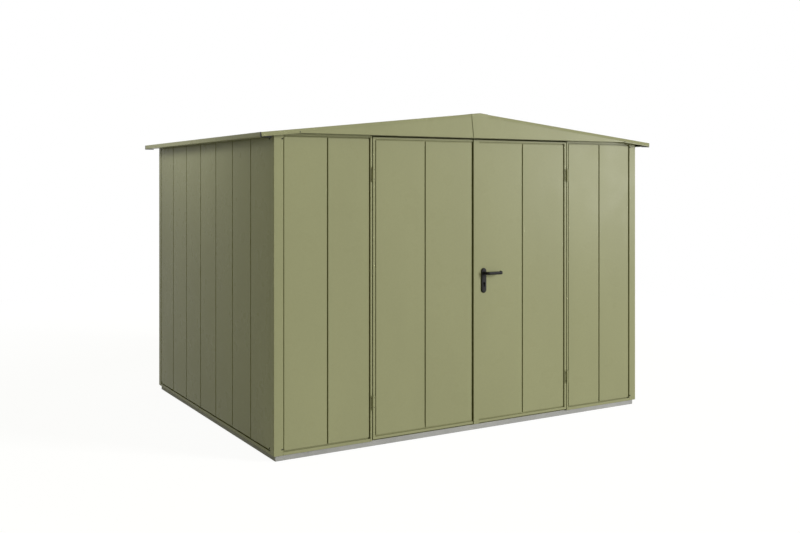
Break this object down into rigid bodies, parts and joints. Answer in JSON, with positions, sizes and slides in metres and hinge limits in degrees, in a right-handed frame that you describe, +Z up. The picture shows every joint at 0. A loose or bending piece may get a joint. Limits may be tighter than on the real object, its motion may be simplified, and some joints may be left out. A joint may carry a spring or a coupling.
{
  "type": "metal storage shed",
  "caption": "Garden storage shed of folded sheet metal with a low gable roof, a hinged double door with a lever handle and lock, on a thin slab.",
  "frame": {"origin": "on the ground, at the middle of the wall footprint", "axes": "+Z up, +X to the right along the front wall, -Y out of the front with the double door"},
  "size_m": [3.228, 2.4853, 2.1894],
  "materials": {
    "wall_paint": "matt reseda green powder coat",
    "concrete": "cast concrete",
    "black_plastic": "fine-grained black plastic",
    "zinc": "zinc-plated steel"
  },
  "bodies": {
    "shed": {"base_slab": "concrete", "door_sill": "wall_paint", "front_left_rails": "wall_paint", "front_right_rails": "wall_paint", "left_wall_rails": "wall_paint", "right_wall_rails": "wall_paint", "back_wall_rails": "wall_paint", "front_left_post": "wall_paint", "front_right_post": "wall_paint", "back_left_post": "wall_paint", "back_right_post": "wall_paint", "left_door_jamb": "wall_paint", "right_door_jamb": "wall_paint", "door_header": "wall_paint", "front_left_panels": "wall_paint", "front_right_panels": "wall_paint", "left_wall_panels": "wall_paint", "right_wall_panels": "wall_paint", "back_wall_panels": "wall_paint", "front_gable_panel": "wall_paint", "back_gable_panel": "wall_paint", "front_fascia": "wall_paint", "back_fascia": "wall_paint", "fascia_covers": "wall_paint", "left_roof_panels": "wall_paint", "right_roof_panels": "wall_paint", "ridge_cap": "wall_paint", "left_eave_trim": "wall_paint", "right_eave_trim": "wall_paint", "eave_end_caps": "black_plastic", "roof_beams": "zinc", "frame_hinges": "wall_paint"},
    "left_door": {"left_door_frame": "wall_paint", "left_door_panels": "wall_paint", "left_door_hinges": "wall_paint", "left_door_bolts": "zinc"},
    "right_door": {"right_door_frame": "wall_paint", "right_door_panels": "wall_paint", "right_door_strip": "wall_paint", "right_door_hinges": "wall_paint", "handle_plates": "black_plastic", "lock_case": "zinc", "lock_cylinder": "black_plastic"},
    "lever": {"lever_handle": "black_plastic"}
  },
  "joints": [
    {"name": "left_door_hinge", "type": "hinge", "parent": "shed", "child": "left_door", "pos_m": [-0.8181, -1.197, 1], "axis": [0, 0, -1], "range_deg": [0, 110]},
    {"name": "right_door_hinge", "type": "hinge", "parent": "shed", "child": "right_door", "pos_m": [0.8181, -1.197, 1], "axis": [0, 0, 1], "range_deg": [0, 110]},
    {"name": "lever_turn", "type": "hinge", "parent": "right_door", "child": "lever", "pos_m": [0.07, -1.19, 1.083], "axis": [0, 1, 0], "range_deg": [0, 40], "stiffness_Nm_per_rad": 1.5, "springref_deg": -20.05}
  ]
}
